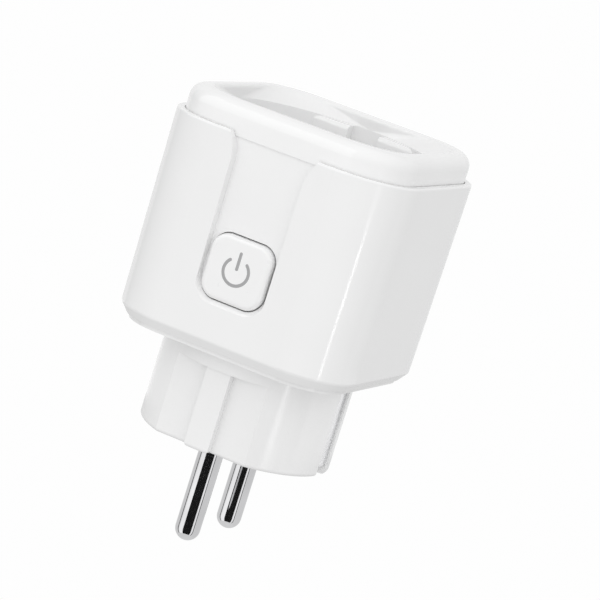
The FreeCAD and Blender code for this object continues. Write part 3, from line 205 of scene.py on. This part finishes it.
def reflector(name, bottom, top, strength, radius=CARD_RADIUS):
    """A curved card round the object, seen in shiny surfaces only.

    Bottom and top are each a height in metres and the card's two edge azimuths in degrees.
    """
    points, faces = [], []
    for height, first, last in (bottom, top):
        for i in range(CARD_STEPS + 1):
            a = math.radians(first + (last - first) * i / CARD_STEPS)
            points.append((radius * math.sin(a), -radius * math.cos(a), height))
    for i in range(CARD_STEPS):
        above = i + CARD_STEPS + 1
        faces.append((i, i + 1, above + 1, above))
    card = add_mesh(name, points, faces)
    card.visible_camera = False
    light_up(card, strength)


def make_floor():
    """A plain pale sheet just under the pins' tips, lit from within like a light table."""
    floor = sheet("floor", cad_low[2] - FLOOR_DROP, FLOOR_SIZE, FLOOR_GLOW)
    floor.visible_glossy = False


def make_world():
    """Soft light from all round: brightest from the front and above, dimmest from opposite."""
    world = bpy.data.worlds.new("studio")
    bpy.context.scene.world = world
    world.use_nodes = True
    tree = world.node_tree
    background = tree.nodes["Background"]
    background.inputs["Color"].default_value = (1, 1, 1, 1)
    way = tree.nodes.new("ShaderNodeTexCoord")
    towards = tree.nodes.new("ShaderNodeVectorMath")
    towards.operation = "DOT_PRODUCT"
    towards.inputs[1].default_value = WORLD_SLOPE
    level = tree.nodes.new("ShaderNodeMath")
    level.operation = "ADD"
    level.inputs[1].default_value = WORLD_LEVEL
    tree.links.new(way.outputs["Generated"], towards.inputs[0])
    tree.links.new(towards.outputs["Value"], level.inputs[0])
    tree.links.new(level.outputs["Value"], background.inputs["Strength"])


def make_pin_cards():
    """Cards low down that give the pins their bands, and one below the pins' tips."""
    for name, first, last, strength in PIN_CARDS:
        reflector(name, (PIN_BASE, first, last), (PIN_TOP, first, last), strength)
    reflector("black_card", (PIN_BASE, *BLACK_EDGES), (BLACK_TOP, *BLACK_EDGES), BLACK_GLOW)
    below = sheet("below_card", PIN_BASE, BELOW_SIZE, BELOW_GLOW)
    below.visible_camera = False


def make_housing_cards():
    """Cards the glossy housing shows: a backdrop, a bright front, the nose's and the corner's."""
    for name, bottom, top, first, last, strength in BACKDROP_CARDS:
        reflector(name, (bottom, first, last), (top, first, last), strength, BACKDROP_RADIUS)
    for name, first, last, strength in NOSE_CARDS:
        reflector(name, (NOSE_BASE, first, last), (NOSE_TOP, first, last), strength)
    for name, bottom, top, strength in CORNER_CARDS:
        reflector(name, bottom, top, strength)


def make_light():
    """The world and all the cards, shown in plain tones."""
    make_world()
    make_pin_cards()
    make_housing_cards()
    bpy.context.scene.view_settings.view_transform = "Standard"


# ---------------------------------------------------------------- materials

# Each noise is a scale, whose features are about 1/scale metres across, and its detail.
CLOUD_NOISE = (60, 3)
SHEEN_NOISE = (350, 4)
STREAK_NOISE = (2500, 3)
WEAR_NOISE = (180, 3)
HAZE_NOISE = (500, 2)
CLEAR_SHEEN_NOISE = (900, 2)
CLEAR_GRAIN_NOISE = (4000, 2)
GRAIN_DETAIL = 2
# Most of a noise's values lie between these two.
NOISE_LOW, NOISE_HIGH = 0.3, 0.7

SHEEN_SWING = 0.04
STREAK_SMOOTH, STREAK_ROUGH = 0.75, 1.3
WEAR_DARK, WEAR_BRIGHT = 0.93, 1.04
HAZE_DARK = 0.95
CLEAR_GRAIN_DEPTH = 0.5e-6
PLASTIC_IOR = 1.5
CLEAR_TRANSMISSION = 0.85


class Nodes:
    """A material under construction: its node tree, shader and shared coordinates."""

    def __init__(self, name):
        self.material = bpy.data.materials.new(name)
        self.material.use_nodes = True
        self.tree = self.material.node_tree
        self.shader = self.tree.nodes["Principled BSDF"]
        self.place = self.add("ShaderNodeTexCoord").outputs["Object"]

    def add(self, kind, **settings):
        node = self.tree.nodes.new(kind)
        for key, value in settings.items():
            setattr(node, key, value)
        return node

    def join(self, source, target):
        self.tree.links.new(source, target)

    def noise(self, scale, detail, stretch=(1, 1, 1)):
        """Noise through the solid, its features drawn out along an axis of small stretch."""
        mapping = self.add("ShaderNodeMapping")
        mapping.inputs["Scale"].default_value = stretch
        self.join(self.place, mapping.inputs["Vector"])
        texture = self.add("ShaderNodeTexNoise")
        texture.inputs["Scale"].default_value = scale
        texture.inputs["Detail"].default_value = detail
        self.join(mapping.outputs["Vector"], texture.inputs["Vector"])
        return texture.outputs["Fac"]

    def spread(self, source, low, high):
        """Map a noise onto a range."""
        ranged = self.add("ShaderNodeMapRange")
        ranged.inputs["From Min"].default_value = NOISE_LOW
        ranged.inputs["From Max"].default_value = NOISE_HIGH
        ranged.inputs["To Min"].default_value = low
        ranged.inputs["To Max"].default_value = high
        self.join(source, ranged.inputs["Value"])
        return ranged.outputs["Result"]

    def blend(self, source, first, second):
        """A colour between two, chosen by a noise."""
        share = self.spread(source, 0, 1)
        mix = self.add("ShaderNodeMix", data_type="RGBA")
        mix.inputs["A"].default_value = (*first, 1)
        mix.inputs["B"].default_value = (*second, 1)
        self.join(share, mix.inputs["Factor"])
        return mix.outputs["Result"]

    def bump(self, source, depth):
        """Surface relief of a depth in metres."""
        node = self.add("ShaderNodeBump")
        node.inputs["Strength"].default_value = 1.0
        node.inputs["Distance"].default_value = depth
        self.join(source, node.inputs["Height"])
        return node.outputs["Normal"]

    def dress(self, colour, roughness, normal):
        """Feed the shader's three patterned sockets."""
        self.join(colour, self.shader.inputs["Base Color"])
        self.join(roughness, self.shader.inputs["Roughness"])
        self.join(normal, self.shader.inputs["Normal"])


def shade(colour, factor):
    """A colour made darker or brighter."""
    return tuple(min(1.0, channel * factor) for channel in colour)


def moulded(name, colour, roughness, grain_depth=1.5e-6, grain_scale=9000, cast=0.012):
    """Moulded plastic: faint colour cast, uneven sheen, and a fine spark-eroded grain."""
    n = Nodes(name)
    n.dress(
        n.blend(n.noise(*CLOUD_NOISE), shade(colour, 1 - cast), shade(colour, 1 + cast / 2)),
        n.spread(n.noise(*SHEEN_NOISE), roughness - SHEEN_SWING, roughness + SHEEN_SWING),
        n.bump(n.noise(grain_scale, GRAIN_DETAIL), grain_depth),
    )
    n.shader.inputs["IOR"].default_value = PLASTIC_IOR
    return n.material


def metal(name, colour, roughness, stretch=(1, 1, 1), depth=0.8e-6):
    """Bare or plated metal: drawn or rolled streaks along the axis of the smallest stretch."""
    n = Nodes(name)
    streak = n.noise(*STREAK_NOISE, stretch)
    n.dress(
        n.blend(n.noise(*WEAR_NOISE), shade(colour, WEAR_DARK), shade(colour, WEAR_BRIGHT)),
        n.spread(streak, roughness * STREAK_SMOOTH, roughness * STREAK_ROUGH),
        n.bump(streak, depth),
    )
    n.shader.inputs["Metallic"].default_value = 1.0
    return n.material


def clear(name, colour, roughness):
    """Clear moulding with a slight milkiness."""
    n = Nodes(name)
    n.dress(
        n.blend(n.noise(*HAZE_NOISE), colour, shade(colour, HAZE_DARK)),
        n.spread(n.noise(*CLEAR_SHEEN_NOISE), roughness - SHEEN_SWING, roughness + SHEEN_SWING),
        n.bump(n.noise(*CLEAR_GRAIN_NOISE), CLEAR_GRAIN_DEPTH),
    )
    n.shader.inputs["Transmission Weight"].default_value = CLEAR_TRANSMISSION
    return n.material


# Slot: kind, colour, roughness, and settings that differ from the kind's own.
FINISHES = {
    "shell_plastic": (moulded, (0.88, 0.88, 0.88), 0.11, {"grain_depth": 0.15e-6}),
    "cap_plastic": (moulded, (0.88, 0.88, 0.88), 0.14, {"grain_depth": 0.3e-6}),
    "button_plastic": (moulded, (0.87, 0.87, 0.87), 0.3, {"grain_depth": 0.8e-6}),
    "symbol_ink": (moulded, (0.35, 0.35, 0.355), 0.45, {}),
    "pin_nickel": (metal, (0.78, 0.78, 0.79), 0.06, {"stretch": (1, 1, 0.05), "depth": 0.05e-6}),
    "earth_metal": (metal, (0.84, 0.84, 0.85), 0.24, {"stretch": (1, 1, 0.06), "depth": 0.2e-6}),
    "contact_brass": (metal, (0.75, 0.52, 0.22), 0.3, {"stretch": (1, 1, 0.2)}),
    "screw_steel": (metal, (0.6, 0.6, 0.62), 0.3, {}),
    "carrier_plastic": (moulded, (0.78, 0.78, 0.76), 0.5, {}),
    "spring_steel": (metal, (0.5, 0.5, 0.52), 0.28, {}),
    "board_laminate": (moulded, (0.02, 0.12, 0.045), 0.3, {"cast": 0.25}),
    "relay_plastic": (moulded, (0.018, 0.018, 0.02), 0.5, {}),
    "ferrite": (
        moulded, (0.045, 0.043, 0.042), 0.7,
        {"grain_depth": 6e-6, "grain_scale": 3000, "cast": 0.2},
    ),
    "winding_tape": (moulded, (0.7, 0.48, 0.05), 0.45, {"cast": 0.1}),
    "copper_wire": (metal, (0.6, 0.22, 0.08), 0.3, {"stretch": (0.1, 0.1, 1)}),
    "can_sleeve": (moulded, (0.02, 0.025, 0.06), 0.28, {"cast": 0.1}),
    "film_box": (moulded, (0.3, 0.31, 0.33), 0.5, {"cast": 0.08}),
    "varistor_coat": (
        moulded, (0.03, 0.1, 0.34), 0.3,
        {"grain_depth": 8e-6, "grain_scale": 800, "cast": 0.15},
    ),
    "fuse_ceramic": (
        moulded, (0.72, 0.68, 0.58), 0.6,
        {"grain_depth": 3e-6, "grain_scale": 4000, "cast": 0.06},
    ),
    "chip_epoxy": (
        moulded, (0.02, 0.02, 0.02), 0.6,
        {"grain_depth": 3e-6, "grain_scale": 5000, "cast": 0.2},
    ),
    "shield_metal": (metal, (0.66, 0.66, 0.68), 0.33, {}),
    "lamp_clear": (clear, (0.92, 0.96, 0.96), 0.12, {}),
}


def dress_nodes():
    """Give every CAD node the finish of its material slot."""
    made = {
        slot: kind(slot, colour, roughness, **settings)
        for slot, (kind, colour, roughness, settings) in FINISHES.items()
    }
    for part in record["subparts"]:
        mesh = frame["nodes"][part["node"]].data
        for i in range(len(mesh.materials)):
            mesh.materials[i] = made[part["material_slot"]]
    return made


# ---------------------------------------------------------------- a piece finer than the CAD

WIRE_THICKNESS = 0.00042
WIRE_SIDES = 10
STEPS_PER_TURN = 40
# The middle of the end turns lies this many wire thicknesses inside the coil's ends.
END_MARGIN = 0.55

SLEEVE_BORE = 0.00182
SLEEVE_STEPS = 64
SLEEVE_INSET = 0.00002


def sweep(bm, rings):
    """Skin neighbouring rings of corners, and close the two ends."""
    for first, second in zip(rings, rings[1:]):
        count = len(first)
        for i in range(count):
            j = (i + 1) % count
            bm.faces.new((first[i], first[j], second[j], second[i]))
    bm.faces.new(tuple(reversed(rings[0])))
    bm.faces.new(tuple(rings[-1]))


def add_wire(bm, low, high, line_radius):
    """One layer of round wire, wound evenly between the two ends of an upright coil."""
    height = high.z - low.z
    margin = END_MARGIN * WIRE_THICKNESS
    turns = int(height / WIRE_THICKNESS) - 1
    pitch = (height - 2 * margin) / turns
    middle = (low + high) / 2
    up = Vector((0, 0, 1))
    rings = []
    for i in range(turns * STEPS_PER_TURN + 1):
        a = 2 * math.pi * i / STEPS_PER_TURN
        out = Vector((math.cos(a), math.sin(a), 0))
        level = low.z + margin + pitch * i / STEPS_PER_TURN
        centre = Vector((middle.x, middle.y, level)) + out * line_radius
        ring = []
        for k in range(WIRE_SIDES):
            b = 2 * math.pi * k / WIRE_SIDES
            spoke = (out * math.cos(b) + up * math.sin(b)) * WIRE_THICKNESS / 2
            ring.append(bm.verts.new(centre + spoke))
        rings.append(ring)
    sweep(bm, rings)


def add_sleeve(bm, low, high, outer):
    """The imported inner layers: a plain upright tube."""
    middle = (low + high) / 2
    corners = [(SLEEVE_BORE, low.z), (outer, low.z), (outer, high.z), (SLEEVE_BORE, high.z)]
    columns = []
    for i in range(SLEEVE_STEPS):
        a = 2 * math.pi * i / SLEEVE_STEPS
        columns.append([
            bm.verts.new((middle.x + r * math.cos(a), middle.y + r * math.sin(a), z))
            for r, z in corners
        ])
    for first, second in zip(columns, columns[1:] + columns[:1]):
        for k in range(len(corners)):
            j = (k + 1) % len(corners)
            bm.faces.new((first[k], second[k], second[j], first[j]))


def wind_choke(copper):
    """Turns of copper wire on the choke, in place of the CAD's plain coil."""
    low, high = (Vector(corner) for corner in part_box("choke_winding"))
    line_radius = (high.x - low.x) / 2 - WIRE_THICKNESS / 2
    inset = Vector((0, 0, SLEEVE_INSET))
    bm = bmesh.new()
    add_wire(bm, low, high, line_radius)
    add_sleeve(bm, low + inset, high - inset, line_radius)
    bmesh.ops.recalc_face_normals(bm, faces=bm.faces)
    # The wire's two end caps have more corners and stay flat.
    for face in bm.faces:
        face.smooth = len(face.verts) == 4
    mesh = bpy.data.meshes.new("choke_turns")
    bm.to_mesh(mesh)
    bm.free()
    mesh.materials.append(copper)
    coil = bpy.data.objects.new("choke_turns", mesh)
    bpy.context.scene.collection.objects.link(coil)
    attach(coil, "root")
    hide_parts("choke_winding")


make_camera()
make_floor()
make_light()
materials = dress_nodes()
wind_choke(materials["copper_wire"])
